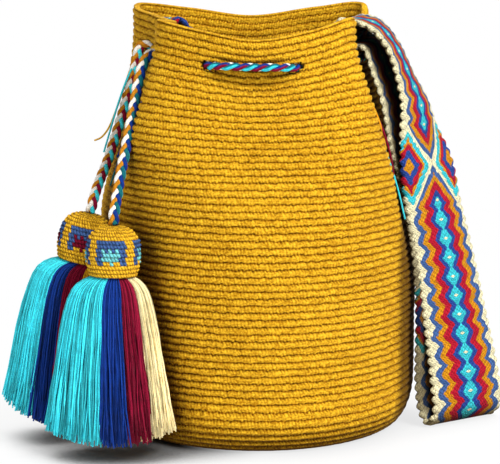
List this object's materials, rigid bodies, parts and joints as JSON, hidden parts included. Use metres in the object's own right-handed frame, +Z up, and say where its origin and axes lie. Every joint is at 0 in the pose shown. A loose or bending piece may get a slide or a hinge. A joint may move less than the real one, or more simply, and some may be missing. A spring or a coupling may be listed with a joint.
{
  "type": "crochet bucket bag",
  "caption": "Round crocheted shoulder bag with a ribbed wall, a folded mouth gathered by a braided drawstring, yarn tassels on its tails and a patterned woven strap.",
  "frame": {"origin": "centre of the flat base, on the surface that the bag stands on", "axes": "+Z up, -Y to the front, +X to the right as seen from the front"},
  "size_m": [0.3824, 0.2622, 0.3154],
  "materials": {
    "mustard_crochet": "matte crocheted cotton",
    "braided_cord": "matte braided yarn",
    "strap_weave": "matte warp-patterned weave",
    "strap_yarn": "matte loose yarn",
    "mustard_yarn": "matte loose yarn",
    "turquoise_yarn": "matte loose yarn",
    "blue_yarn": "matte loose yarn",
    "crimson_yarn": "matte loose yarn",
    "cream_yarn": "matte loose yarn"
  },
  "bodies": {
    "root": {"bag_body": "mustard_crochet", "drawstring": "braided_cord", "shoulder_strap": "strap_weave", "strap_yarns_left": "strap_yarn", "strap_yarns_right": "strap_yarn", "front_tassel_cap": "mustard_crochet", "front_tassel_mustard_yarn": "mustard_yarn", "front_tassel_turquoise_yarn": "turquoise_yarn", "front_tassel_blue_yarn": "blue_yarn", "front_tassel_crimson_yarn": "crimson_yarn", "front_tassel_cream_yarn": "cream_yarn", "back_tassel_cap": "mustard_crochet", "back_tassel_cream_yarn": "cream_yarn", "back_tassel_turquoise_yarn": "turquoise_yarn", "back_tassel_blue_yarn": "blue_yarn", "back_tassel_crimson_yarn": "crimson_yarn", "back_tassel_mustard_yarn": "mustard_yarn"}
  },
  "joints": []
}
